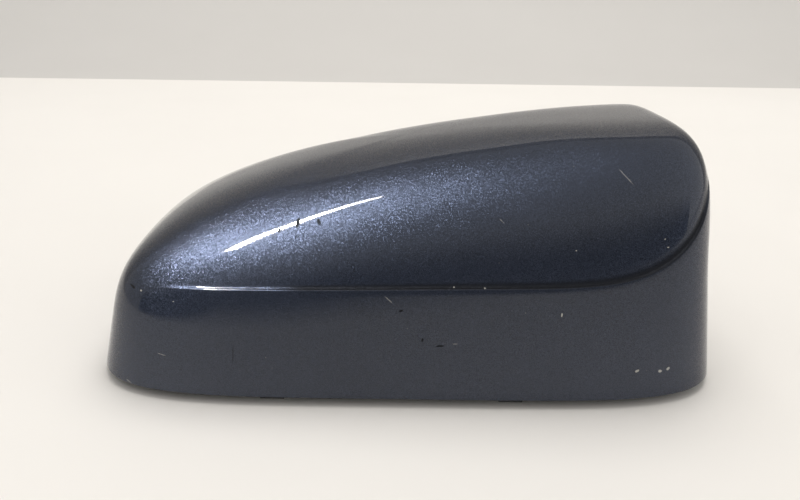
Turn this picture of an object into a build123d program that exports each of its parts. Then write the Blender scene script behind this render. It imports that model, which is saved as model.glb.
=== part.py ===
from build123d import *
import math
import os

# Wing mirror cover: one moulded shell that lies open side down on its four snap tabs.
# X runs along the length, Y across it and Z up. The tab ends stand on Z = 0.

# Outline of the rim, seen from above
length = 230.0
width = 132.0
squareness = 4.8  # 2 would be an ellipse, more is a squarer outline

# Skirt: the drafted band from the rim up to the lip
rim_height = 3.0  # how far the tabs hold the rim up
skirt_height = 38.0  # rim to lip, halfway along
skirt_tilt = 2.5  # the lip is this much higher at the right end and lower at the left
lip_rise = 36.0  # further climb of the lip over the right end
rise_start = 2.5  # a higher power keeps the climb closer to the end
rise_breadth = 3.6  # a higher power carries the climb further round the corners
lean_side = 10.5  # draft in degrees, on the long sides
lean_left = 13.5
lean_right = 8.0

# Dome above the lip
ledge = 2.0  # from the lip in to the foot of the dome, which makes the crease
ledge_slope = 25.0
ridge_height = 82.6  # rim to ridge, halfway along, before the nose takes it down
ridge_tilt = 6.4  # climb of the ridge from halfway to the right end
nose_start = 0.73  # where the ridge begins to fall to the left, as a share of the half length
nose_power = 2.2
shoulder_start = 0.78  # where it begins to fall to the right
shoulder_power = 4.5
arch_left = 2.2  # roundness of the arch across: 2 is an ellipse, more is squarer
arch_right = 3.4
arch_trim = 0.05  # share of the full arch that is left off, so its foot is not quite upright
ridge_trim = 0.02

# Wall and edges
wall = 2.5
lip_round = 0.6  # from the lip's corner to where its rounding begins
rim_bevel = 0.5

# Snap tabs, two on each long side, and locating ribs
tab_positions = (-47.0, 36.0)
tab_width = 8.5
tab_thickness = 2.2
tab_gap = 1.5  # between the free end of a tab and the wall
tab_height = 20.0
hook_depth = 1.3
hook_height = 2.6
lead_in = 0.8
rib_thickness = 1.6
rib_depth = 5.0
rib_height = 18.0
rib_lift = 5.0  # rim to the lower end of a rib

half_length = length / 2
half_width = width / 2
power = squareness
QUARTER = math.pi / 2

# The dome is laid out on a square of two parameters that is bent onto the outline.
# Its skirt runs a little past the foot, so the ledge trims it cleanly.
overrun = 0.012
corner_ease = 0.44
dome_steps = (16, 12)


def rim_radius(a):
    """Distance from the middle to the rim along the ray at angle a."""
    along = abs(math.cos(a)) / half_length
    across = abs(math.sin(a)) / half_width
    return (along**power + across**power) ** (-1 / power)


def slant(a):
    """Length along the ray for each unit of distance square to the outline."""
    c, s = abs(math.cos(a)), abs(math.sin(a))
    nx = (c / half_length) ** (power - 1) / half_length
    ny = (s / half_width) ** (power - 1) / half_width
    return math.hypot(nx, ny) / (nx * c + ny * s)


def lip_height(a):
    """Height of the lip above Z = 0: level along the sides, climbing over the right end."""
    x = rim_radius(a) * math.cos(a) / half_length
    y = min(1.0, rim_radius(a) * abs(math.sin(a)) / half_width)
    climb = lip_rise * max(x, 0.0) ** rise_start * (1 - y**rise_breadth)
    return rim_height + skirt_height + skirt_tilt * x + climb


def lean(a):
    """Draft of the skirt at angle a, blended between the sides and the ends."""
    end = lean_right if math.cos(a) > 0 else lean_left
    return math.radians(lean_side * math.sin(a) ** 2 + end * math.cos(a) ** 2)


def skirt_radius(a, z, inset):
    """Distance to the skirt at height z, for a skin that lies inset inside the outer one."""
    step = (z - rim_height) * math.tan(lean(a)) + inset / math.cos(lean(a))
    return rim_radius(a) - step * slant(a)


def foot_radius(a):
    """Distance to the foot of the dome."""
    return skirt_radius(a, lip_height(a), 0.0) - ledge * slant(a)


def rounded(u, p, trim):
    """Falls from 1 at u = 0 to 0 at u = 1 along a superellipse of power p, trimmed near its end."""
    u = min(max(u, 0.0), 1.0)
    cut = 1 - trim
    end = (1 - cut**p) ** (1 / p)
    return ((1 - (cut * u) ** p) ** (1 / p) - end) / (1 - end)


def ridge(x):
    """Height of the ridge at x, a share of the half length from -1 to 1."""
    left, right = lip_height(math.pi), lip_height(0.0)
    z = rim_height + ridge_height + ridge_tilt * x
    z = left + (z - left) * rounded((nose_start - x) / (nose_start + 1), nose_power, ridge_trim)
    fall = rounded((x - shoulder_start) / (1 - shoulder_start), shoulder_power, ridge_trim)
    return right + (z - right) * fall if x > shoulder_start else z


def dome_height(a, r):
    """Height of the dome's outer face on the ray at angle a. Past the foot it goes straight on down."""
    foot = foot_radius(a)
    share = min(r / foot, 1.0)
    base = lip_height(a)

    def height(q):
        x = q * rim_radius(a) * math.cos(a) / half_length
        y = q * rim_radius(a) * abs(math.sin(a)) / half_width
        across = y / max(1 - abs(x) ** power, 1e-12) ** (1 / power)
        arch = arch_left + (arch_right - arch_left) * (x + 1) / 2
        return base + max(ridge(x) - base, 0.0) * rounded(across, arch, arch_trim)

    if r <= foot:
        return height(share)
    near = 0.985
    slope = (height(near) - height(1.0)) / ((1 - near) * foot)
    return height(1.0) - slope * (r - foot)


def steepness(a, r):
    """Length of the upright line through a skin of unit thickness, from the slopes out and round."""
    h = 0.4
    low = max(r - h, 0.0)
    out = (dome_height(a, r + h) - dome_height(a, low)) / (r + h - low)
    turn = h / max(r, 1.0)
    around = (dome_height(a + turn, r) - dome_height(a - turn, r)) / (2 * h)
    return min(math.hypot(1.0, out, around if r > 1.0 else 0.0), 7.0)


def dome_point(u, v, inset):
    """Point of the dome skin at u, v, each from -1 to 1. An inset skin stops that much short of the foot."""
    x = u * (1 - corner_ease * abs(v) ** power) ** (1 / power)
    y = v * (1 - corner_ease * abs(u) ** power) ** (1 / power)
    share = (abs(x) ** power + abs(y) ** power) ** (1 / power)
    a = math.atan2(y * half_width, x * half_length)
    r = share * (foot_radius(a) - 4 / 5 * inset * slant(a))
    z = dome_height(a, r) - (inset * steepness(a, r) if inset else 0.0)
    return Vector(r * math.cos(a), r * math.sin(a), z)


def loop(radius, height, count=60):
    """Closed curve around the outline, from its radius and height at each angle."""
    points = []
    for k in range(count):
        a = 4 * QUARTER * k / count
        points.append(Vector(radius(a) * math.cos(a), radius(a) * math.sin(a), height(a)))
    return Edge.make_spline(points, periodic=True)


def dome_body(inset, base):
    """Everything under the dome skin, down to the height base."""
    spread = [[(1 + overrun) * math.sin(QUARTER * k / n) for k in range(-n, n + 1)] for n in dome_steps]
    grid = [[dome_point(u, v, inset) for u in spread[0]] for v in spread[1]]
    skin = Face.make_surface_from_array_of_points(grid, tol=0.05, min_deg=3, max_deg=3)
    sides = []
    feet = []
    for edge in skin.edges():
        points = [edge @ (k / 12) for k in range(13)]
        foot = Edge.make_spline([Vector(p.X, p.Y, base) for p in points])
        sides.append(Face.make_surface_from_curves(foot, edge))
        feet.append(foot)
    return Solid(Shell([skin, *sides, Face(Wire(feet))]))


def skirt_body(inset, base, edges):
    """Ring under the skirt and the ledge, down to the height base, with eased edges on the outer skin."""
    climb = math.tan(math.radians(ledge_slope))
    reach = 3 * ledge

    def lip_z(a):
        return lip_height(a) - inset

    def on_skirt(z, back=0.0):
        return loop(lambda a: skirt_radius(a, z(a), inset) - back * slant(a), z)

    def ledge_r(a, inward):
        return skirt_radius(a, lip_z(a), inset) - inward * slant(a)

    def on_ledge(inward):
        return loop(lambda a: ledge_r(a, inward), lambda a: lip_z(a) + inward * climb)

    def on_lip(t):
        """Loop on the rounded lip: t runs from 0 on the skirt to 1 on the ledge, along a parabola."""

        def radius(a):
            ends = skirt_radius(a, lip_z(a) - lip_round, inset), ledge_r(a, lip_round)
            return (1 - t) ** 2 * ends[0] + 2 * t * (1 - t) * ledge_r(a, 0.0) + t**2 * ends[1]

        def height(a):
            return lip_z(a) + lip_round * (t**2 * climb - (1 - t) ** 2)

        return loop(radius, height)

    foot = on_skirt(lambda a: base, rim_bevel if edges else 0.0)
    floor = loop(lambda a: ledge_r(a, reach), lambda a: base)
    low = [foot, on_skirt(lambda a: base + rim_bevel)] if edges else [foot]
    lip = [on_lip(t / 3) for t in range(4)] if edges else [on_ledge(0.0)]
    loops = [*low, *lip, on_ledge(reach), floor]
    faces = [Face.make_surface_from_curves(one, two) for one, two in zip(loops, loops[1:])]
    return Solid(Shell([*faces, Face(Wire([foot]), [Wire([floor])])]))


def body(inset, base, edges=False):
    """Solid form of the cover for a skin that lies inset inside the outer one."""
    return (dome_body(inset, base) + skirt_body(inset, base, edges)).solid()


def underside(solid):
    return solid.faces().sort_by(Axis.Z)[0]


# Outer and inner form, and the flat rim that joins the two skins into one shell
outer = body(0.0, rim_height, edges=True)
inner = body(wall, rim_height)
rim = Face(underside(outer).outer_wire(), [underside(inner).outer_wire()])
ends = [underside(outer), underside(inner)]
skins = [f for f in outer.faces() + inner.faces() if not any(f.is_same(e) for e in ends)]
shell = Solid(Shell([*skins, rim]))

# Snap tabs and ribs stand upright and run into the leaning wall as far as its middle
tab_outline = [
    (0.0, 0.0),
    (tab_thickness - lead_in, 0.0),
    (tab_thickness + hook_depth, hook_height - lead_in),
    (tab_thickness + hook_depth, hook_height),
    (tab_thickness, hook_height + hook_depth / 2),
    (tab_thickness, tab_height),
    (0.0, tab_height),
]


def inside_y(x):
    """Distance from the middle line to the inner face of the wall at the rim."""
    edge = half_width * (1 - abs(x / half_length) ** power) ** (1 / power)
    return edge - wall / math.cos(math.radians(lean_side))


def tab(x, side):
    """Snap tab on the long side at x. Its hook points inwards."""
    face = inside_y(x) - tab_gap
    points = [(side * (face - depth), z) for depth, z in tab_outline]
    sketch = Plane.YZ.offset(x - tab_width / 2) * Polygon(*points, align=None)
    return extrude(sketch, tab_width)


def rib(a):
    """Upright locating rib on the wall at angle a."""
    reach = skirt_radius(a, rim_height + rib_lift, wall)
    block = Box(2 * rib_depth, rib_thickness, rib_height, align=(Align.CENTER, Align.CENTER, Align.MIN))
    spot = Pos(reach * math.cos(a), reach * math.sin(a), rim_height + rib_lift)
    return spot * Rot(0, 0, math.degrees(a)) * block


middle = body(wall / 2, -rim_height)
fittings = [tab(x, side) for x in tab_positions for side in (-1, 1)]
fittings += [rib(k * QUARTER) for k in range(4)]
cover = shell
for fitting in fittings:
    cover = cover + (fitting & middle)

mirror_cover = cover.solid()
mirror_cover.label = "mirror_cover"

os.makedirs("parts", exist_ok=True)
export_step(mirror_cover, "parts/mirror_cover.step")
print("volume", round(mirror_cover.volume), "valid", mirror_cover.is_valid)
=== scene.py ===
# %% [markdown]
# # A wing mirror cover, dressed for its portrait
# The part is one moulding: a hollow shell with a dome, a crease, a drafted skirt and a flat open rim.
# It is painted outside and bare inside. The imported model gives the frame, so every surface below is
# worked out in metres in that same frame, and nothing is moved or scaled to fit.

import math

import bmesh
import bpy
import numpy as np
from mathutils import Euler, Matrix, Vector


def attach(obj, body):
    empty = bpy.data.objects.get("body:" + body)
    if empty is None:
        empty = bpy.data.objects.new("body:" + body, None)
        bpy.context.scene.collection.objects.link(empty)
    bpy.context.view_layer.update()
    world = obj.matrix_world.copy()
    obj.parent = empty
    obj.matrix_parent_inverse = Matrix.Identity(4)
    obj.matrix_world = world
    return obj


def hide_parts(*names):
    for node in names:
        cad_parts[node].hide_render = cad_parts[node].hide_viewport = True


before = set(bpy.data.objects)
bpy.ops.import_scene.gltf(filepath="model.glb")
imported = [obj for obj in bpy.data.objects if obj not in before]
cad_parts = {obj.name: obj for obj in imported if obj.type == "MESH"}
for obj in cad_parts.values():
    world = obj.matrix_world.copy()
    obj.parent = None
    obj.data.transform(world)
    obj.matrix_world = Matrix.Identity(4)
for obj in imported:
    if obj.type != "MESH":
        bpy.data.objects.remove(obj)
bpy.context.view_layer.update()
print("frame nodes:", sorted(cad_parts))

# %% [markdown]
# ## The outline
# Seen from above the rim is a superellipse: an ellipse whose powers are raised until its ends and sides
# are nearly straight. One ray from the middle at each angle meets it once, so everything on this cover
# can be written as a distance and a height on that ray. Doing it for all rays at once is one array each.

# %% Outline of the rim
LENGTH, WIDTH = 0.230, 0.132
SQUARENESS = 4.8
HALF = np.array([LENGTH, WIDTH]) / 2


def rim_radius(a):
    """Distance to the rim at angle a: the sum of both axis shares, each raised to SQUARENESS, is one."""
    shares = (np.abs(np.cos(a)) / HALF[0]) ** SQUARENESS + (np.abs(np.sin(a)) / HALF[1]) ** SQUARENESS
    return shares ** (-1 / SQUARENESS)


def slant(a):
    """Length along the ray for one unit square to the outline: one over the cosine of their angle."""
    c, s = np.abs(np.cos(a)), np.abs(np.sin(a))
    nx = (c / HALF[0]) ** (SQUARENESS - 1) / HALF[0]
    ny = (s / HALF[1]) ** (SQUARENESS - 1) / HALF[1]
    return np.hypot(nx, ny) / (nx * c + ny * s)


print("rim half axes:", rim_radius(0.0), rim_radius(math.pi / 2))

# %% [markdown]
# ## The skirt and its lip
# The skirt is the band between the rim and the crease. It leans inwards by its draft angle so that the
# moulding leaves its tool. Its upper edge, the lip, is level along the sides and climbs over the tall end.

# %% Skirt
RIM_Z = 0.003
SKIRT, SKIRT_TILT = 0.038, 0.0025
LIP_RISE, RISE_START, RISE_BREADTH = 0.036, 2.5, 3.6
LEAN_SIDE, LEAN_LEFT, LEAN_RIGHT = np.radians([10.5, 13.5, 8.0])
WALL = 0.0025


def lip_height(a):
    """Height of the lip: a level line, a small tilt, and a power of x that fades with a power of y."""
    x = rim_radius(a) * np.cos(a) / HALF[0]
    y = np.minimum(rim_radius(a) * np.abs(np.sin(a)) / HALF[1], 1.0)
    climb = LIP_RISE * np.maximum(x, 0.0) ** RISE_START * (1 - y**RISE_BREADTH)
    return RIM_Z + SKIRT + SKIRT_TILT * x + climb


def lean(a):
    """Draft angle of the skirt: the side's and the end's, mixed by the squares of sine and cosine."""
    end = np.where(np.cos(a) > 0, LEAN_RIGHT, LEAN_LEFT)
    return LEAN_SIDE * np.sin(a) ** 2 + end * np.cos(a) ** 2


def skirt_radius(a, z, inset=0.0):
    """Distance to the skirt at height z: the rim, less the draft and the inset, taken along the ray."""
    step = (z - RIM_Z) * np.tan(lean(a)) + inset / np.cos(lean(a))
    return rim_radius(a) - step * slant(a)


print("lip height, left, side, right:", [round(float(lip_height(a)), 4) for a in (np.pi, -np.pi / 2, 0)])

# %% [markdown]
# ## The dome
# A ridge line runs along the cover. It falls in a long nose at one end and in a tight shoulder at the
# other. Across the ridge the dome is an arch, rounder at the nose and squarer at the tall end. Both falls
# use the same curve, a superellipse quarter that is cut off just before it stands upright.

# %% Dome
RIDGE, RIDGE_TILT = 0.0826, 0.0064
NOSE_START, NOSE_POWER = 0.73, 2.2
SHOULDER_START, SHOULDER_POWER = 0.78, 4.5
ARCH_LEFT, ARCH_RIGHT = 2.2, 3.4
ARCH_CUT, NOSE_CUT, SHOULDER_CUT = 0.95, 0.99, 0.98
LEDGE, LEDGE_SLOPE = 0.0011, math.radians(4.0)
NEAR_FOOT = 0.985  # the slope at the foot is taken from this share of the way onwards


def rounded(u, power, cut):
    """Falls from 1 to 0 as u goes from 0 to 1, along a superellipse quarter that ends at the share cut."""
    u = np.clip(u, 0.0, 1.0)
    end = (1 - cut**power) ** (1 / power)
    return ((1 - (cut * u) ** power) ** (1 / power) - end) / (1 - end)


def ridge(x):
    """Height of the ridge at x from -1 to 1: a tilted line times the nose's fall and the shoulder's fall."""
    left, right = lip_height(np.pi), lip_height(0.0)
    z = RIM_Z + RIDGE + RIDGE_TILT * x
    z = left + (z - left) * rounded((NOSE_START - x) / (NOSE_START + 1), NOSE_POWER, NOSE_CUT)
    past = (x - SHOULDER_START) / (1 - SHOULDER_START)
    return right + (z - right) * rounded(past, SHOULDER_POWER, SHOULDER_CUT)


def arch(a, share):
    """Height of the dome at a share of the way to its foot: the ridge's height times the arch across."""
    x = share * rim_radius(a) * np.cos(a) / HALF[0]
    y = share * rim_radius(a) * np.abs(np.sin(a)) / HALF[1]
    across = y / np.maximum(1 - np.abs(x) ** SQUARENESS, 1e-12) ** (1 / SQUARENESS)
    power = ARCH_LEFT + (ARCH_RIGHT - ARCH_LEFT) * (x + 1) / 2
    base = lip_height(a)
    return base + np.maximum(ridge(x) - base, 0.0) * rounded(across, power, ARCH_CUT)


def dome(a, r):
    """Height of the dome at distance r. Past its foot it runs straight on down at the foot's slope."""
    foot = skirt_radius(a, lip_height(a)) - LEDGE * slant(a)
    slope = (arch(a, NEAR_FOOT) - arch(a, 1.0)) / ((1 - NEAR_FOOT) * foot)
    return np.where(r <= foot, arch(a, np.minimum(r / foot, 1.0)), arch(a, 1.0) - slope * (r - foot))


print("ridge at the nose, middle and shoulder:", [round(float(ridge(x)), 4) for x in (-0.9, 0.0, 0.78)])

# %% [markdown]
# ## The crease
# The dome meets the skirt's ledge in a concave fold. Instead of cutting a fillet, the two heights are
# joined by a soft maximum: far apart it is just the higher one, and where they meet it rounds the corner.

# %% Crease
COVE = 0.0005
SHELF_WIDTHS = 3
SLOPE_STEP, POLE_CLEAR, DROP_LIMIT = 0.0004, 0.001, 7.0  # for the slopes of the dome, which has a pole


def soft_max(p, q, blend):
    """The larger of two heights, with the corner rounded like a hyperbola whose size is blend."""
    return (p + q + np.sqrt((p - q) ** 2 + blend**2)) / 2


def shelf(a, r, lip_r, lip_z):
    """Height of the ledge: up at its slope for SHELF_WIDTHS from the lip, then down again out of the way."""
    inward = (lip_r - r) / slant(a)
    return lip_z + np.minimum(inward, 2 * SHELF_WIDTHS * LEDGE - inward) * math.tan(LEDGE_SLOPE)


def outer_top(a, r):
    """Outside height of dome, cove and ledge at distance r, up to the lip."""
    return soft_max(dome(a, r), shelf(a, r, skirt_radius(a, lip_height(a)), lip_height(a)), COVE)


def inner_top(a, r):
    """Inside height: the dome dropped by the wall measured square to its slope, and the ledge likewise."""
    h = SLOPE_STEP
    low = np.maximum(r - h, 0.0)
    out = (dome(a, r + h) - dome(a, low)) / (r + h - low)
    turn = h / np.maximum(r, POLE_CLEAR)
    around = np.where(r > POLE_CLEAR, (dome(a + turn, r) - dome(a - turn, r)) / (2 * h), 0.0)
    drop = WALL * np.minimum(np.sqrt(1 + out**2 + around**2), DROP_LIMIT)
    lip_z = lip_height(a) - WALL
    return soft_max(dome(a, r) - drop, shelf(a, r, skirt_radius(a, lip_z, WALL), lip_z), COVE)


mid_side = -np.pi / 2
fold = skirt_radius(mid_side, lip_height(mid_side)) - LEDGE
print("crease height at mid side:", round(float(outer_top(mid_side, fold)), 4))

# %% [markdown]
# ## The skin
# The whole moulding is one profile carried round the outline: from the middle of the dome out over the
# crease and the lip, down the skirt, round the rim and back up inside. Each step of that profile is a row
# of points, one for each ray, so the mesh is a grid of rows and rays that closes at two poles.

# %% Rows of the profile
RAYS = 480
CLOSE_IN = 0.012  # the rows lie close together from the lip in to this distance
LIP_ROUND = 0.0005
RIM_ROUND, INNER_ROUND = 0.0006, 0.0004
TOP_FAR, TOP_CLOSE, LIP_COUNT, SKIRT_COUNT, RIM_COUNT = 50, 44, 6, 18, 5
INNER_RIM_COUNT, INNER_SKIRT_COUNT, INNER_TOP = 4, 14, 24
ROW_EASE = 0.9
rays = np.arange(RAYS) * 2 * np.pi / RAYS


def corner_rows(before, corner, after, count):
    """Rounds a corner: a quadratic curve from before to after that is pulled towards the corner."""
    t = np.linspace(0, 1, count)[:, None]
    return [(1 - t) ** 2 * p + 2 * t * (1 - t) * c + t**2 * q for p, c, q in zip(before, corner, after)]


def top_rows(a, height, lip_r, close, far):
    """Rows over a dome from its middle out to lip_r: even at first, then closer together near the lip."""
    shares = np.linspace(0, 1, far + 1)[1:, None] ** ROW_EASE
    even = (lip_r - CLOSE_IN * slant(a)) * shares
    dense = lip_r - np.linspace(CLOSE_IN, 0.0, close + 1)[1:, None] * slant(a)
    radius = np.vstack([even, dense])
    return radius, height(a, radius)


def wall_rows(a, low, high, inset, count):
    """Rows up the skirt between two heights, for the skin that lies inset inside the outer one."""
    z = low + (high - low) * np.linspace(0, 1, count)[:, None]
    return skirt_radius(a, z, inset), z


def profile(a):
    """Radius and height of every row, from the middle of the dome outside to its middle inside."""
    lip_z = lip_height(a)
    lip_r = skirt_radius(a, lip_z)
    start_r = lip_r - LIP_ROUND * slant(a)
    r_top, z_top = top_rows(a, outer_top, start_r, TOP_CLOSE, TOP_FAR)
    lip_end = lip_z - LIP_ROUND
    r_lip, z_lip = corner_rows((start_r, z_top[-1]), (lip_r, lip_z),
                               (skirt_radius(a, lip_end), lip_end), LIP_COUNT)
    low = RIM_Z + RIM_ROUND
    r_out, z_out = wall_rows(a, low, lip_end, 0.0, SKIRT_COUNT)
    rim_r = rim_radius(a)
    seat_r = rim_r - RIM_ROUND * slant(a)
    flat = np.full_like(a, RIM_Z)
    r_rim, z_rim = corner_rows((r_out[0], z_out[0]), (rim_r, flat), (seat_r, flat), RIM_COUNT)
    in_r = skirt_radius(a, RIM_Z, WALL)
    up = RIM_Z + INNER_ROUND
    r_in_rim, z_in_rim = corner_rows((in_r + INNER_ROUND * slant(a), flat), (in_r, flat),
                                     (skirt_radius(a, up, WALL), flat + INNER_ROUND), INNER_RIM_COUNT)
    in_lip = lip_z - WALL
    r_in, z_in = wall_rows(a, up, in_lip, WALL, INNER_SKIRT_COUNT)
    r_in_top, z_in_top = top_rows(a, inner_top, r_in[-1], INNER_TOP, INNER_TOP)
    z_in_top[-1] = in_lip
    parts = [
        (r_top, z_top), (r_lip[1:], z_lip[1:]), (r_out[-2::-1], z_out[-2::-1]), (r_rim[1:], z_rim[1:]),
        (r_in_rim, z_in_rim), (r_in[1:], z_in[1:]), (r_in_top[-2::-1], z_in_top[-2::-1]),
    ]
    return [np.vstack([part[k] for part in parts]) for k in (0, 1)] + [[len(part[0]) for part in parts]]


radius, height, row_counts = profile(rays)
print("rows in each stretch:", row_counts, "points:", radius.size)

# %% [markdown]
# ## Where the crease fades
# Towards the nose, and at the very end of the tall side, the real moulding has no crease: skirt and dome run
# into each other. There the rows near the lip are drawn over to one cubic curve from the dome to the skirt.
# The share of that curve eases from nothing to all of it, so the crease dies away and leaves no mark.

# %% Fade
FADE_LEFT, FADE_RIGHT = (0.58, 0.88), (0.93, 1.0)
REACH_LEFT, REACH_RIGHT = 0.42, 0.33  # how far the curve keeps its end directions
FADE_REACH = np.where(np.cos(rays) < 0, REACH_LEFT, REACH_RIGHT)[:, None]
FADE_DOWN = 7  # rows of the skirt that belong to the curve
FADE_ROWS = TOP_CLOSE + LIP_COUNT + FADE_DOWN


def eased(u):
    """A smooth step: 0 before u = 0, 1 after u = 1, and three u squared less two u cubed between."""
    u = np.clip(u, 0.0, 1.0)
    return u * u * (3 - 2 * u)


def fade_share(a):
    """How far the crease has gone, from 0 along the sides to 1 at the ends."""
    x = rim_radius(a) * np.cos(a) / HALF[0]
    to_left = eased((-x - FADE_LEFT[0]) / (FADE_LEFT[1] - FADE_LEFT[0]))
    return to_left + eased((x - FADE_RIGHT[0]) / (FADE_RIGHT[1] - FADE_RIGHT[0]))


def bridge(rows):
    """A cubic curve with the ends and end directions of a stretch of rows, at the same shares of length."""
    steps = np.diff(rows, axis=0)
    run = np.vstack([np.zeros((1, RAYS)), np.cumsum(np.linalg.norm(steps, axis=-1), axis=0)])
    t = (run / run[-1])[..., None]
    reach = np.linalg.norm(rows[-1] - rows[0], axis=-1)[:, None] * FADE_REACH
    ways = [step / np.linalg.norm(step, axis=-1)[:, None] * reach for step in (steps[0], steps[-1])]
    p, q, m, n = rows[0], rows[0] + ways[0], rows[-1] - ways[1], rows[-1]
    return (1 - t) ** 3 * p + 3 * t * (1 - t) ** 2 * q + 3 * t**2 * (1 - t) * m + t**3 * n


stretch = slice(TOP_FAR - 1, TOP_FAR - 1 + FADE_ROWS)
edge = np.stack([radius[stretch], height[stretch]], axis=-1)
share = fade_share(rays)[:, None]
edge = edge + share * (bridge(edge) - edge)
radius[stretch], height[stretch] = edge[..., 0], edge[..., 1]
print("faded rays:", int((share > 0).sum()), "of", RAYS)

# %% [markdown]
# Closing the grid takes two single points, the poles in the middle of the dome outside and inside.
# The faces are worked out as index arrays too: each cell joins a row to the next and a ray to the next.

# %% Skin mesh


def closed_grid(rows, columns):
    """Faces of a grid that wraps round its columns and ends in one pole before and one after its rows."""
    index = np.arange(rows * columns).reshape(rows, columns)
    after = np.roll(index, -1, axis=1)
    cells = np.stack([index[:-1], index[1:], after[1:], after[:-1]], axis=-1).reshape(-1, 4)
    first, last = rows * columns, rows * columns + 1
    fan = np.stack([np.full(columns, first), index[0], after[0]], axis=-1)
    inner_fan = np.stack([index[-1], np.full(columns, last), after[-1]], axis=-1)
    return cells.tolist() + fan.tolist() + inner_fan.tolist()


def new_piece(name, points, faces, smooth=True):
    """Makes a mesh object at the origin from points and faces, and links it to the scene."""
    mesh = bpy.data.meshes.new(name)
    mesh.from_pydata(points.tolist(), [], faces)
    mesh.polygons.foreach_set("use_smooth", np.full(len(mesh.polygons), smooth))
    mesh.update()
    piece = bpy.data.objects.new(name, mesh)
    bpy.context.scene.collection.objects.link(piece)
    return piece


zero = np.zeros(1)
grid = np.stack([radius * np.cos(rays), radius * np.sin(rays), height], axis=-1).reshape(-1, 3)
poles = [[0, 0, float(outer_top(zero, zero)[0])], [0, 0, float(inner_top(zero, zero)[0])]]
cover = new_piece("cover_skin", np.vstack([grid, poles]), closed_grid(*radius.shape))
print("skin:", len(cover.data.vertices), "points,", len(cover.data.polygons), "faces")

# %% [markdown]
# The paint stops at the rim and only some overspray reaches inside. Each point of the mesh remembers how
# far inside it lies, from 0 on the painted skin to 1 well inside, and the material reads that attribute.

# %% How bare each point is
OVERSPRAY = 0.014
inside_from = sum(row_counts[:4])
depth = np.zeros(radius.shape)
depth[inside_from:] = np.clip((height[inside_from:] - RIM_Z) / OVERSPRAY, 0, 1)
bare = cover.data.attributes.new("bare", "FLOAT", "POINT")
bare.data.foreach_set("value", np.append(depth.ravel(), [0.0, 1.0]).astype(np.float32))
print("bare points:", int((depth > 0.99).sum()))

# %% [markdown]
# The fold of the crease is dark: partly grime that washing leaves where no cloth reaches, partly painted
# shade.
# A second attribute says how near each outside point is to the fold, and it dies away where the crease does.

# %% Painted shade and grime along the fold
GRIME_SHADE_FROM, GRIME_SHADE_TO, GRIME_SHADE_SOFT = 0.0, 0.0014, 0.0004
GRIME_SHADE_LEFT, GRIME_SHADE_EASE = -0.048, 0.015
inward = (skirt_radius(rays, lip_height(rays)) - radius) / slant(rays)
# a band of painted shade, partly grime, along the fold; none inside and none where the crease fades
fold_grime_and_shade = eased((inward - GRIME_SHADE_FROM) / GRIME_SHADE_SOFT + 0.5) * (1 - eased((inward - GRIME_SHADE_TO) / GRIME_SHADE_SOFT + 0.5))
fold_grime_and_shade = fold_grime_and_shade * np.maximum(1 - fade_share(rays), 0) * eased((radius * np.cos(rays) - GRIME_SHADE_LEFT) / GRIME_SHADE_EASE)
fold_grime_and_shade[inside_from:] = 0.0
crease = cover.data.attributes.new("crease", "FLOAT", "POINT")
crease.data.foreach_set("value", np.append(fold_grime_and_shade.ravel(), [0.0, 0.0]).astype(np.float32))
print("dirty points:", int((fold_grime_and_shade > 0.5).sum()))

# %% [markdown]
# ## Snap tabs and ribs
# Four tabs clip the cover to its housing, two on each long side. Each is one outline carried straight
# along the rim: a blade with a hook at its free end. Thin ribs on the wall centre the cover.

# %% Tabs
TAB_X = (-0.047, 0.036)
TAB_WIDTH, TAB_THICK, TAB_GAP, TAB_HEIGHT = 0.0085, 0.0022, 0.0015, 0.020
HOOK_DEPTH, HOOK_HEIGHT, LEAD_IN = 0.0013, 0.0026, 0.0008
TAB_OUTLINE = np.array([
    (0.0, 0.0),
    (TAB_THICK - LEAD_IN, 0.0),
    (TAB_THICK + HOOK_DEPTH, HOOK_HEIGHT - LEAD_IN),
    (TAB_THICK + HOOK_DEPTH, HOOK_HEIGHT),
    (TAB_THICK, HOOK_HEIGHT + HOOK_DEPTH / 2),
    (TAB_THICK, TAB_HEIGHT),
    (0.0, TAB_HEIGHT),
])


def prism(loop_a, loop_b):
    """Points and faces of a solid between two like loops: its side cells and its two end faces."""
    n = len(loop_a)
    k = np.arange(n)
    sides = np.stack([k, np.roll(k, -1), np.roll(k, -1) + n, k + n], axis=-1).tolist()
    return np.vstack([loop_a, loop_b]), sides + [list(range(n))[::-1], list(range(n, 2 * n))]


def joined(solids):
    """Several solids as one set of points and faces."""
    starts = np.cumsum([0] + [len(points) for points, _ in solids])
    faces = [[int(i + start) for i in face] for (_, part), start in zip(solids, starts) for face in part]
    return np.vstack([points for points, _ in solids]), faces


def tab(x, side):
    """A tab at x: its outline, depth inwards and height, carried along its width."""
    edge = HALF[1] * (1 - abs(x / HALF[0]) ** SQUARENESS) ** (1 / SQUARENESS)
    face = edge - WALL / math.cos(LEAN_SIDE) - TAB_GAP
    y = side * (face - TAB_OUTLINE[:, 0])
    ends = [x + side * TAB_WIDTH / 2, x - side * TAB_WIDTH / 2]
    return prism(*[np.stack([np.full_like(y, end), y, TAB_OUTLINE[:, 1]], axis=-1) for end in ends])


tabs = new_piece("snap_tabs", *joined([tab(x, side) for x in TAB_X for side in (-1, 1)]), smooth=False)
print("tabs:", len(tabs.data.polygons), "faces")

# %% Ribs
RIB_THICK, RIB_DEPTH, RIB_HEIGHT, RIB_LIFT = 0.0016, 0.005, 0.018, 0.005


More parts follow.
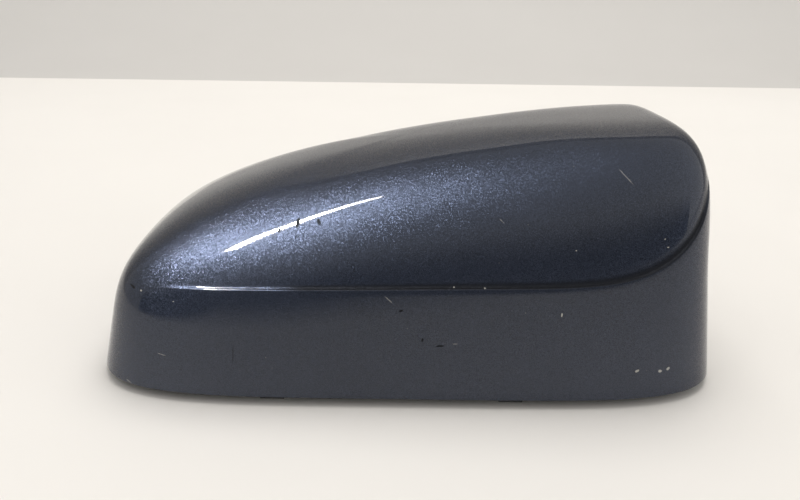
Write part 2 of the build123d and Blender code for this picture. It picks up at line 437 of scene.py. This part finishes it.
def rib(a):
    """An upright rib at angle a: its outer edge follows the middle of the wall, its inner is straight."""
    low = RIM_Z + RIB_LIFT
    z = np.array([low, low, low + RIB_HEIGHT, low + RIB_HEIGHT])
    inner = skirt_radius(a, low, WALL) - RIB_DEPTH
    r = np.where([True, False, False, True], skirt_radius(a, z, WALL / 2), inner)
    out, across = np.array([np.cos(a), np.sin(a)]), np.array([-np.sin(a), np.cos(a)])
    halves = (RIB_THICK / 2, -RIB_THICK / 2)
    return prism(*[np.column_stack([r[:, None] * out + half * across, z]) for half in halves])


ribs = new_piece("locating_ribs", *joined([rib(k * np.pi / 2) for k in range(4)]), smooth=False)
print("ribs:", len(ribs.data.polygons), "faces")

# %% [markdown]
# Moulded edges are never knife sharp. A small bevel on the tabs and ribs catches the light as a real
# edge does. Before that, bmesh turns every face of these small solids outwards.

# %% Soft edges
EDGE_ROUND = 0.0003
for piece in (tabs, ribs):
    work = bmesh.new()
    work.from_mesh(piece.data)
    bmesh.ops.recalc_face_normals(work, faces=work.faces)
    work.to_mesh(piece.data)
    work.free()
    bevel = piece.modifiers.new("soft_edges", "BEVEL")
    bevel.width, bevel.segments, bevel.limit_method = EDGE_ROUND, 2, "ANGLE"

for piece in (cover, tabs, ribs):
    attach(piece, "root")
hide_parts("mirror_cover")
print("pieces:", [piece.name for piece in (cover, tabs, ribs)])

# %% [markdown]
# ## Writing shaders as sums
# A shader tree is arithmetic. The small class below wraps one output socket, so that `1 - mask` or
# `a * b` adds the Math nodes by itself. Every other node comes from one method, `add`.

# %% Socket class


class Wire:
    """One output of a shader tree. Arithmetic on it adds Math nodes."""

    def __init__(self, tree, socket=None):
        self.tree, self.socket = tree, socket

    def add(self, kind, settings=None, inputs=None, out=0):
        """Adds a node: its type, its settings, then the values or links of its sockets. Gives one output."""
        node = self.tree.nodes.new("ShaderNode" + kind)
        for name, value in (settings or {}).items():
            setattr(node, name, value)
        for key, value in (inputs or {}).items():
            if isinstance(value, Wire):
                self.tree.links.new(value.socket, node.inputs[key])
            else:
                node.inputs[key].default_value = value
        return Wire(self.tree, node.outputs[out])

    def math(self, operation, first, second=0.0):
        """A Math node on two values."""
        return self.add("Math", {"operation": operation}, {0: first, 1: second})

    def __add__(self, other):
        return self.math("ADD", self, other)

    def __sub__(self, other):
        return self.math("SUBTRACT", self, other)

    def __rsub__(self, other):
        return self.math("SUBTRACT", other, self)

    def __mul__(self, other):
        return self.math("MULTIPLY", self, other)

    __radd__, __rmul__ = __add__, __mul__

    def larger(self, other):
        """The larger of this value and another."""
        return self.math("MAXIMUM", self, other)

    def between(self, low, high, start=0.0, end=1.0):
        """Eases from start to end while the value goes from low to high."""
        ranges = {1: low, 2: high, 3: start, 4: end}
        return self.add("MapRange", {"interpolation_type": "SMOOTHSTEP"}, {0: self, **ranges})

    def mix(self, first, second):
        """A colour that goes from first to second as this value goes from 0 to 1."""
        return self.add("Mix", {"data_type": "RGBA"}, {"Factor": self, 6: first, 7: second}, out=2)

    def vector(self, operation, first, second=(0.0, 0.0, 0.0), scale=1.0, out=0):
        """A Vector Math node on two vectors, or on one vector and a scale."""
        inputs = {0: first, 1: second} if operation != "SCALE" else {0: first, "Scale": scale}
        return self.add("VectorMath", {"operation": operation}, inputs, out)


def new_material(name):
    """An empty material, its Principled node and a Wire to start its tree from."""
    material = bpy.data.materials.new(name)
    material.use_nodes = True
    tree = material.node_tree
    return material, tree.nodes["Principled BSDF"], Wire(tree)


def feed(shader, **sockets):
    """Sets or links the sockets of a shader node. Underscores in a name stand for spaces."""
    for name, value in sockets.items():
        socket = shader.inputs[name.replace("_", " ")]
        if isinstance(value, Wire):
            value.tree.links.new(value.socket, socket)
        else:
            socket.default_value = value


print("shader helpers ready")

# %% [markdown]
# ## Marks of use
# The cover has been on a car, and it shows: stone chips, nicks through the paint and fine scratches.
# Each mark is an ellipsoid around a place on the skin. A Mapping node brings it to a unit ball, and the
# distance from its middle gives the mask. A little noise on the coordinates makes the edges ragged.
# A mark is written as its place, its half length and half width in millimetres, and its tilt in degrees.

# %% Places of the marks
MM = 0.001
MARK_DEPTH = 5.0
MARK_CORE = 0.65  # share of a mark that is whole before its edge softens
SCRATCHES = {
    "long_scratch": (71.8, -44.8, 76.7, 4.0, 0.16, -45),
    "short_scratch": (30.5, -49.5, 62.8, 1.3, 0.14, -40),
    "skirt_scratch": (-84.5, -59.7, 15.8, 1.8, 0.16, -10),
    "skirt_dash": (15.8, -62.4, 22.8, 1.1, 0.14, 0),
    "skirt_cut": (-6.7, -59.5, 37.5, 2.0, 0.2, -41),
    "rim_wear": (-98.0, -57.8, 3.9, 1.4, 0.3, -20),
}
CHIPS = {
    "skirt_nick": (51.1, -60.7, 33.3, 0.8, 0.3, 85),
    "chip_low_1": (78.4, -62.0, 13.2, 0.9, 0.5, 20),
    "chip_low_2": (86.9, -60.5, 12.4, 0.8, 0.6, -15),
    "chip_low_3": (89.9, -59.6, 12.9, 0.8, 0.55, 40),
    "dome_speck_1": (86.0, -51.9, 55.1, 0.5, 0.25, 10),
    "dome_speck_2": (84.7, -51.6, 57.8, 0.3, 0.2, 60),
    "dome_speck_3": (55.0, -53.7, 54.3, 0.3, 0.18, 0),
    "crease_speck_1": (15.0, -58.3, 41.7, 0.35, 0.2, 0),
    "crease_speck_2": (25.2, -59.0, 41.7, 0.3, 0.2, 0),
    "left_dot": (-92.0, -52.8, 36.1, 0.4, 0.35, 0),
    "left_speck": (-79.7, -56.7, 34.3, 0.25, 0.2, 0),
}
DARK_MARKS = {
    "dome_nick_1": (-38.0, -45.3, 59.4, 1.6, 0.8, 80),
    "dome_nick_2": (-44.2, -46.6, 57.1, 0.9, 0.55, 60),
    "dome_nick_3": (-30.7, -46.4, 60.1, 1.1, 0.6, -50),
    "left_chip": (-95.8, -50.7, 36.6, 1.6, 0.6, -15),
    "skirt_line": (-59.3, -62.4, 17.4, 3.4, 0.16, 88),
    "skirt_chip": (-2.5, -60.3, 33.8, 0.9, 0.4, 15),
    "skirt_dot": (4.8, -62.1, 24.0, 0.7, 0.45, 70),
    "skirt_dash": (10.7, -62.5, 22.0, 1.7, 0.4, 4),
}
print("marks:", len(SCRATCHES), "scratches,", len(CHIPS), "pale chips,", len(DARK_MARKS), "dark ones")

# %% Mask of a set of marks


def marks_mask(start, place, marks):
    """One mask for a set of marks: the largest of their soft ellipsoids."""
    mask = None
    for x, y, z, long, short, tilt in marks.values():
        inputs = {
            "Vector": place,
            "Location": (x * MM, y * MM, z * MM),
            "Rotation": (0.0, math.radians(-tilt), 0.0),
            "Scale": (long * MM, MARK_DEPTH * MM, short * MM),
        }
        ball = start.add("Mapping", {"vector_type": "TEXTURE"}, inputs)
        spot = start.vector("LENGTH", ball, out=1).between(MARK_CORE, 1.0, 1.0, 0.0)
        mask = spot if mask is None else mask.larger(spot)
    return mask


print("mask helper ready")

# %% [markdown]
# ## The paint
# Metallic car paint is a dark base full of tiny aluminium flakes under a smooth clear coat. Each flake lies
# at its own small tilt, so near a lamp's reflection some flash and some stay dark: that grain around the
# highlight is what tells metallic paint from plain. Here each flake is a Voronoi cell whose random colour
# tilts the normal of the base alone. The coat keeps the true normal, so its reflections stay sharp.

# %% Paint
FLAKES_PER_METRE = 5500.0
FLAKE_TILT = 0.40
PAINT_DARK, PAINT_LIGHT = (0.008, 0.011, 0.018, 1.0), (0.054, 0.065, 0.098, 1.0)
BARE_PLASTIC, PRIMER = (0.020, 0.020, 0.021, 1.0), (0.42, 0.41, 0.38, 1.0)
# the dark plastic under worn paint; the same colour also paints the shade in the crease fold
EXPOSED_AND_SHADE = (0.006, 0.006, 0.007, 1.0)
GREY = (0.5, 0.5, 0.5)  # the middle of a random colour
CLOUD_SCALE, CLOUD_SHARE = 18.0, 0.3
RAGGED_SCALE, RAGGED_SHIFT = 2200.0, 0.0004
SCRATCH_SHARE = 0.45
DUST_SCALE, DUST_PATCHES, DUST_SHARE = 190.0, 70.0, 0.35
DUST_EDGE, PATCH_EDGE = (0.02, 0.045), (0.5, 0.62)
SPRAY_SCALE, SPRAY_SHARE, SPRAY_EDGE = 320.0, 0.7, (0.25, 0.75)
# how even and how patchy the painted shade and grime in the fold are
GRIME_SHADE_EVEN, GRIME_SHADE_PATCHY = 0.7, 0.4
GRAIN_SCALE, GRAIN_DEPTH = 1400.0, 0.0003
METALLIC, ROUGH, ROUGHER = 0.85, 0.33, 0.2
COAT_ROUGH, COAT_IOR = 0.04, 1.42
BASE_SPECULAR, BASE_TINT = 0.3, (0.25, 0.27, 0.32, 1.0)


def make_paint():
    """Flake paint with a clear coat outside, bare grained plastic inside, the marks of use on both, and
    painted shade with grime in the fold.
    """
    paint, shader, start = new_material("flake_paint")
    place = start.add("TexCoord", out=3)
    flakes = start.add("TexVoronoi", {}, {"Vector": place, "Scale": FLAKES_PER_METRE}, out=1)
    tilt = start.vector("SCALE", start.vector("SUBTRACT", flakes, GREY), scale=FLAKE_TILT)
    normal = start.add("NewGeometry", out=1)
    flake_normal = start.vector("NORMALIZE", start.vector("ADD", normal, tilt))
    glint = start.add("SeparateColor", {}, {0: flakes})
    cloud = start.add("TexNoise", {}, {"Vector": place, "Scale": CLOUD_SCALE, "Detail": 4.0})
    tone = glint * (1 - CLOUD_SHARE) + cloud * CLOUD_SHARE
    colour = tone.mix(PAINT_DARK, PAINT_LIGHT)

    ragged = start.add("TexNoise", {}, {"Vector": place, "Scale": RAGGED_SCALE, "Detail": 2.0}, out=1)
    shift = start.vector("SCALE", start.vector("SUBTRACT", ragged, GREY), scale=RAGGED_SHIFT)
    wobbly = start.vector("ADD", place, shift)
    pale = marks_mask(start, wobbly, CHIPS).larger(marks_mask(start, wobbly, SCRATCHES) * SCRATCH_SHARE)
    dark = marks_mask(start, wobbly, DARK_MARKS)
    dust = start.add("TexVoronoi", {}, {"Vector": place, "Scale": DUST_SCALE})
    dust_size = start.add("TexNoise", {}, {"Vector": place, "Scale": DUST_PATCHES})
    dust = dust.between(*DUST_EDGE, 1.0, 0.0) * dust_size.between(*PATCH_EDGE)

    spray = start.add("TexNoise", {}, {"Vector": place, "Scale": SPRAY_SCALE, "Detail": 5.0})
    inside = start.add("Attribute", {"attribute_name": "bare"}, {}, out=2)
    inside = (inside + (spray - 0.5) * SPRAY_SHARE).between(*SPRAY_EDGE)
    outside = 1 - inside

    # The crease attribute paints shade along the fold, partly grime: it darkens the colour, takes away coat
    # and metal, and roughens the paint.
    grime_and_shade = start.add("Attribute", {"attribute_name": "crease"}, {}, out=2)
    grime_and_shade = grime_and_shade * (GRIME_SHADE_EVEN + cloud * GRIME_SHADE_PATCHY)

    colour = grime_and_shade.mix((dust * DUST_SHARE).mix(colour, PRIMER), EXPOSED_AND_SHADE)
    colour = pale.mix(colour, PRIMER)
    colour = dark.mix(colour, EXPOSED_AND_SHADE)
    colour = inside.mix(colour, BARE_PLASTIC)
    worn = pale.larger(dark)
    whole = outside * (1 - worn.larger(grime_and_shade))
    grain = start.add("TexNoise", {}, {"Vector": place, "Scale": GRAIN_SCALE, "Detail": 3.0})
    bump = start.add("Bump", {}, {"Strength": 0.25, "Distance": GRAIN_DEPTH, "Height": grain * inside - worn,
                                  "Normal": flake_normal})
    roughness = ROUGH + worn * ROUGHER + inside * ROUGHER + grime_and_shade * ROUGHER
    feed(shader, Base_Color=colour, Metallic=whole * METALLIC, Roughness=roughness,
         Coat_Weight=whole, Coat_Roughness=COAT_ROUGH, Coat_IOR=COAT_IOR, Normal=bump,
         Specular_IOR_Level=BASE_SPECULAR, Specular_Tint=BASE_TINT)
    return paint


flake_paint = make_paint()
cover.data.materials.append(flake_paint)
print("paint nodes:", len(flake_paint.node_tree.nodes))

# %% [markdown]
# ## Bare plastic
# The tabs and ribs are the moulding's own dark plastic, with the fine grain that the tool leaves.

# %% Bare plastic
PLASTIC_DARK, PLASTIC_LIGHT = (0.022, 0.022, 0.023, 1.0), (0.045, 0.045, 0.046, 1.0)
MOTTLE_SCALE, TOOL_GRAIN = 260.0, 1500.0


def make_plastic():
    """Dark moulded plastic: two greys mixed by noise, with a fine grain."""
    plastic, shader, start = new_material("bare_plastic")
    place = start.add("TexCoord", out=3)
    cloud = start.add("TexNoise", {}, {"Vector": place, "Scale": MOTTLE_SCALE, "Detail": 5.0})
    grain = start.add("TexNoise", {}, {"Vector": place, "Scale": TOOL_GRAIN, "Detail": 3.0})
    bump = start.add("Bump", {}, {"Strength": 0.2, "Distance": GRAIN_DEPTH, "Height": grain})
    colour = cloud.mix(PLASTIC_DARK, PLASTIC_LIGHT)
    feed(shader, Base_Color=colour, Roughness=0.45 + cloud * 0.15, Normal=bump)
    return plastic


bare_plastic = make_plastic()
for piece in (tabs, ribs):
    piece.data.materials.append(bare_plastic)
print("plastic nodes:", len(bare_plastic.node_tree.nodes))

# %% [markdown]
# ## Stage, light and camera
# A glossy dark thing is seen by what it mirrors. A pale floor, wall and surround give the light edges, and a
# dark flag behind the camera deepens the upper edge of the skirt. The flag is there only for mirror images:
# it neither shows nor shades anything.

# %% Floor
FLOOR_SIZE = 12.0
FLOOR_PALE, FLOOR_SHADE = (0.84, 0.815, 0.78, 1.0), (0.80, 0.775, 0.74, 1.0)


def plane(name, corners):
    """A flat stage piece with four corners."""
    piece = new_piece(name, np.array(corners), [[0, 1, 2, 3]], smooth=False)
    return piece


floor = plane("floor", [(-FLOOR_SIZE, -FLOOR_SIZE, 0), (FLOOR_SIZE, -FLOOR_SIZE, 0),
                        (FLOOR_SIZE, FLOOR_SIZE, 0), (-FLOOR_SIZE, FLOOR_SIZE, 0)])


def stage_paint(name, pale, shade):
    """Matt paint in two close tones, mixed by soft noise."""
    paint, shader, start = new_material(name)
    cloud = start.add("TexNoise", {}, {"Vector": start.add("TexCoord", out=3), "Scale": 6.0, "Detail": 3.0})
    feed(shader, Base_Color=cloud.mix(pale, shade), Roughness=0.6)
    return paint


floor.data.materials.append(stage_paint("floor_paint", FLOOR_PALE, FLOOR_SHADE))
print("floor:", 2 * FLOOR_SIZE, "m wide")

# %% Backdrop
SWEEP_START, SWEEP_RADIUS, SWEEP_TOP, SWEEP_HALF = 0.8, 0.5, 2.4, 4.0
SWEEP_STEPS = 24
WALL_PALE, WALL_SHADE = (0.59, 0.575, 0.555, 1.0), (0.565, 0.55, 0.53, 1.0)


def sweep():
    """A backdrop: a quarter circle that turns the floor up into a wall, and the wall's top edge."""
    turn = np.linspace(0, np.pi / 2, SWEEP_STEPS + 1)
    y = np.append(SWEEP_START + SWEEP_RADIUS * np.sin(turn), SWEEP_START + SWEEP_RADIUS)
    z = np.append(SWEEP_RADIUS * (1 - np.cos(turn)), SWEEP_TOP)
    sides = [np.column_stack([np.full_like(y, x), y, z]) for x in (-SWEEP_HALF, SWEEP_HALF)]
    k = np.arange(len(y) - 1)
    faces = np.stack([k, k + len(y), k + len(y) + 1, k + 1], axis=-1).tolist()
    piece = new_piece("backdrop", np.vstack(sides), faces)
    return piece


backdrop = sweep()
backdrop.data.materials.append(stage_paint("wall_paint", WALL_PALE, WALL_SHADE))
print("backdrop:", len(backdrop.data.polygons), "faces")

# %% Flag
FLAG_Y, FLAG_HALF, FLAG_TOP = -0.42, 0.9, 0.5
FLAG_DARK = (0.02, 0.02, 0.024, 1.0)
FLAG_RISE, FLAG_RISE_LEFT, FLAG_FALL = (0.012, 0.045), (-0.005, 0.03), (0.08, 0.30)
FLAG_LEFT = (-0.10, 0.15)


def flag_shade():
    """Dark cloth that thins out upwards and downwards, and reaches lower at the left."""
    cloth, shader, start = new_material("flag_cloth")
    feed(shader, Base_Color=FLAG_DARK, Roughness=0.9)
    place = start.add("TexCoord", out=3)
    across, upward = [start.add("SeparateXYZ", {}, {0: place}, out=k) for k in (0, 2)]
    left = across.between(*FLAG_LEFT, 1.0, 0.0) * upward.between(*FLAG_RISE_LEFT)
    dense = left.larger(upward.between(*FLAG_RISE)) * upward.between(*FLAG_FALL, 1.0, 0.0)
    clear = start.add("BsdfTransparent")
    mixed = start.add("MixShader", {}, {0: dense, 1: clear, 2: Wire(cloth.node_tree, shader.outputs[0])})
    output = cloth.node_tree.nodes["Material Output"]
    cloth.node_tree.links.new(mixed.socket, output.inputs["Surface"])
    return cloth


flag = plane("dark_flag", [(-FLAG_HALF, FLAG_Y, 0.0), (-FLAG_HALF, FLAG_Y, FLAG_TOP),
                           (FLAG_HALF, FLAG_Y, FLAG_TOP), (FLAG_HALF, FLAG_Y, 0.0)])
flag.data.materials.append(flag_shade())
flag.visible_camera = flag.visible_diffuse = flag.visible_shadow = False
print("flag:", 2 * FLAG_HALF, "m wide")

# %% [markdown]
# The surround is a soft light that grows a little towards the right. A lamp from above and behind throws the
# shadow to the front. A long tube in front, at the left, makes the fine line above the crease, and a curved
# glowing strip makes the streak on the dome. Both are hidden from diffuse light, so that they show as
# reflections and don't brighten the floor.

# %% World
SURROUND_LEFT, SURROUND_RIGHT = (1.0, 0.985, 0.96, 1.0), (1.7, 1.68, 1.64, 1.0)
SURROUND_TURN, SURROUND_STRENGTH = (-0.2, 0.9), 0.54
world = bpy.data.worlds.new("studio")
bpy.context.scene.world = world
world.use_nodes = True
sky = Wire(world.node_tree)
rightward = sky.add("SeparateXYZ", {}, {0: sky.add("TexCoord", out=0)}).between(*SURROUND_TURN)
shade = rightward.mix(SURROUND_LEFT, SURROUND_RIGHT)
feed(world.node_tree.nodes["Background"], Color=shade, Strength=SURROUND_STRENGTH)
print("surround nodes:", len(world.node_tree.nodes))

# %% Lamps
TUBE_ENDS, TUBE_THICK, TUBE_POWER = ((-1.64, -1.80, 1.2), (-1.17, -2.83, 1.2)), 0.03, 10.0
FILL_PLACE, FILL_TARGET, FILL_SIZE, FILL_POWER = (0.1, 0.7, 2.1), (0, 0.1, 0), (1.8, 1.4), 34.0
FILL_COLOUR = (1.0, 0.98, 0.95)


def area_lamp(name, place, target, size, power, colour=(1.0, 1.0, 1.0)):
    """An area lamp at a place that faces a target."""
    lamp = bpy.data.lights.new(name, "AREA")
    lamp.shape, lamp.size, lamp.size_y = "RECTANGLE", size[0], size[1]
    lamp.energy, lamp.color = power, colour
    holder = bpy.data.objects.new(name, lamp)
    bpy.context.scene.collection.objects.link(holder)
    aim = (Vector(target) - Vector(place)).to_track_quat("-Z", "Y").to_matrix().to_4x4()
    holder.matrix_world = Matrix.Translation(place) @ aim
    return holder


def tube_lamp(name, one, two, thick, power):
    """A thin lamp between two points, facing the middle of the cover."""
    one, two = Vector(one), Vector(two)
    middle, along = (one + two) / 2, (two - one).normalized()
    facing = (Vector((0, 0, 0.05)) - middle).normalized()
    across = along.cross(facing).normalized()
    lamp = area_lamp(name, middle, (0, 0, 0), ((two - one).length, thick), power)
    axes = Matrix((along, across, along.cross(across))).transposed()
    lamp.matrix_world = Matrix.Translation(middle) @ axes.to_4x4()
    return lamp


low_tube = tube_lamp("low_tube", *TUBE_ENDS, TUBE_THICK, TUBE_POWER)
low_tube.visible_diffuse = False
fill = area_lamp("fill", FILL_PLACE, FILL_TARGET, FILL_SIZE, FILL_POWER, FILL_COLOUR)
fill.visible_glossy = False

# %% Strip
STRIP_ENDS, STRIP_MIDDLE = ((-0.91, -0.69), (-0.40, -0.235)), (-0.66, -0.335)
STRIP_Z, STRIP_WIDE, STRIP_NARROW, STRIP_STEPS = 1.5, 0.058, 0.048, 24
STRIP_POWER, STRIP_LEAST = 900.0, 0.05
STRIP_COLOUR, BLACK = (1.0, 0.98, 0.96, 1.0), (0.0, 0.0, 0.0, 1.0)


def strip():
    """A glowing strip along a quadratic curve through both ends and the middle, narrower at its far end."""
    n = STRIP_STEPS + 1
    t = np.linspace(0, 1, n)[:, None]
    one, two = np.array(STRIP_ENDS)
    pull = 2 * np.array(STRIP_MIDDLE) - (one + two) / 2
    line = (1 - t) ** 2 * one + 2 * t * (1 - t) * pull + t**2 * two
    way = np.gradient(line, axis=0)
    across = np.column_stack([-way[:, 1], way[:, 0]]) / np.linalg.norm(way, axis=1)[:, None]
    half = (STRIP_WIDE + (STRIP_NARROW - STRIP_WIDE) * t) / 2
    sides = [np.column_stack([line + k * half * across, np.full(n, STRIP_Z)]) for k in (1, -1)]
    k = np.arange(STRIP_STEPS)
    piece = new_piece("strip", np.vstack(sides), np.stack([k, k + 1, k + n + 1, k + n], axis=-1).tolist())
    return piece


def strip_glow():
    """A glow that falls from full at the near end of the strip to STRIP_LEAST at its far end."""
    glow, shader, start = new_material("strip_glow")
    along = start.add("SeparateXYZ", {}, {0: start.add("TexCoord", out=3)})
    level = along.between(STRIP_ENDS[0][0], STRIP_ENDS[1][0], 1.0, 0.0) * (1 - STRIP_LEAST) + STRIP_LEAST
    colour = level.mix(BLACK, STRIP_COLOUR)
    feed(shader, Base_Color=BLACK, Emission_Color=colour, Emission_Strength=STRIP_POWER)
    return glow


streak = strip()
streak.data.materials.append(strip_glow())
streak.visible_camera = streak.visible_diffuse = False
print("strip:", len(streak.data.polygons), "faces")

# %% [markdown]
# The camera stands where the photograph was taken: low in front of the long side, looking slightly down.

# %% Camera
CAMERA_PLACE = (-0.00315, -0.2717, 0.1350)
CAMERA_PITCH, CAMERA_ROLL = math.radians(20.6), math.radians(0.78)
FOCAL_PIXELS, IMAGE_WIDTH, SENSOR = 700.0, 800.0, 36.0
lens = bpy.data.cameras.new("camera")
lens.sensor_width, lens.lens = SENSOR, SENSOR * FOCAL_PIXELS / IMAGE_WIDTH
lens.clip_start = 0.01
camera = bpy.data.objects.new("camera", lens)
bpy.context.scene.collection.objects.link(camera)
tilt = Euler((math.pi / 2 - CAMERA_PITCH, 0.0, 0.0)).to_matrix().to_4x4()
camera.matrix_world = Matrix.Translation(CAMERA_PLACE) @ tilt @ Matrix.Rotation(CAMERA_ROLL, 4, "Z")
bpy.context.scene.camera = camera
bpy.context.scene.view_settings.view_transform = "Standard"
print("lens:", round(lens.lens, 2), "mm")
